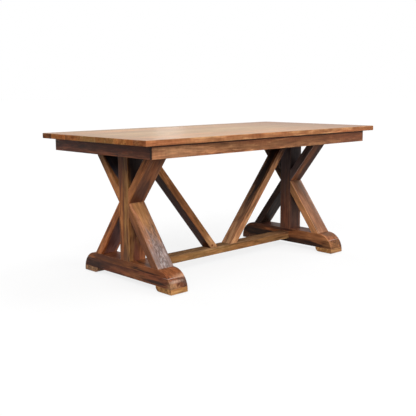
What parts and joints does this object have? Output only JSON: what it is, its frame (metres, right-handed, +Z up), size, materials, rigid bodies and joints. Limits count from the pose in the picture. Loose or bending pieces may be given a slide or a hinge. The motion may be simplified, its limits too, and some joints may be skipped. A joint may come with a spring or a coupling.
{
  "type": "trestle dining table",
  "caption": "Solid wood trestle dining table: boarded top on mitred aprons, X-braced posts on long feet, low stretcher with raking struts.",
  "frame": {"origin": "on the floor under the middle of the top", "axes": "+X along the table's length, +Y towards the rear long side, +Z up"},
  "size_m": [1.8, 0.9, 0.785],
  "materials": {
    "top_board": "satin lacquered wood",
    "apron": "satin lacquered wood",
    "post": "satin lacquered wood",
    "brace": "satin lacquered wood",
    "foot": "satin lacquered wood",
    "pad": "satin lacquered wood",
    "stretcher": "satin lacquered wood",
    "strut": "satin lacquered wood",
    "hidden_wood": "satin lacquered wood",
    "dowel": "raw wood",
    "plated_steel": "zinc plated",
    "insert": "turned",
    "glide_stud": "zinc plated thread",
    "glide_base": "moulded matte"
  },
  "bodies": {
    "table": {"top_plank_1": "top_board", "top_plank_2": "top_board", "top_plank_3": "top_board", "top_plank_4": "top_board", "top_plank_5": "top_board", "top_plank_6": "top_board", "top_plank_7": "top_board", "front_apron": "apron", "rear_apron": "apron", "left_apron": "apron", "right_apron": "apron", "left_front_corner_block": "hidden_wood", "left_front_pad": "pad", "left_front_upper_brace": "brace", "left_front_lower_brace": "brace", "left_rear_corner_block": "hidden_wood", "left_rear_pad": "pad", "left_rear_upper_brace": "brace", "left_rear_lower_brace": "brace", "right_front_corner_block": "hidden_wood", "right_front_pad": "pad", "right_front_upper_brace": "brace", "right_front_lower_brace": "brace", "right_rear_corner_block": "hidden_wood", "right_rear_pad": "pad", "right_rear_upper_brace": "brace", "right_rear_lower_brace": "brace", "left_bearer": "hidden_wood", "left_post": "post", "left_foot_beam": "foot", "left_strut": "strut", "left_trestle_dowels": "dowel", "right_bearer": "hidden_wood", "right_post": "post", "right_foot_beam": "foot", "right_strut": "strut", "right_trestle_dowels": "dowel", "centre_batten": "hidden_wood", "stretcher": "stretcher", "strut_dowels": "dowel", "top_screws": "plated_steel", "corner_block_screws": "plated_steel", "apron_clips": "plated_steel", "apron_clip_screws": "plated_steel", "strut_screws": "plated_steel", "pad_screws": "plated_steel", "glide_inserts": "insert"},
    "left_front_glide": {"left_front_glide_base": "glide_base", "left_front_glide_stud": "glide_stud"},
    "left_rear_glide": {"left_rear_glide_base": "glide_base", "left_rear_glide_stud": "glide_stud"},
    "right_front_glide": {"right_front_glide_base": "glide_base", "right_front_glide_stud": "glide_stud"},
    "right_rear_glide": {"right_rear_glide_base": "glide_base", "right_rear_glide_stud": "glide_stud"}
  },
  "joints": [
    {"name": "left_front_glide_height", "type": "slide", "parent": "table", "child": "left_front_glide", "axis": [0, 0, -1], "range_m": [0, 0.012]},
    {"name": "left_rear_glide_height", "type": "slide", "parent": "table", "child": "left_rear_glide", "axis": [0, 0, -1], "range_m": [0, 0.012]},
    {"name": "right_front_glide_height", "type": "slide", "parent": "table", "child": "right_front_glide", "axis": [0, 0, -1], "range_m": [0, 0.012]},
    {"name": "right_rear_glide_height", "type": "slide", "parent": "table", "child": "right_rear_glide", "axis": [0, 0, -1], "range_m": [0, 0.012]}
  ]
}
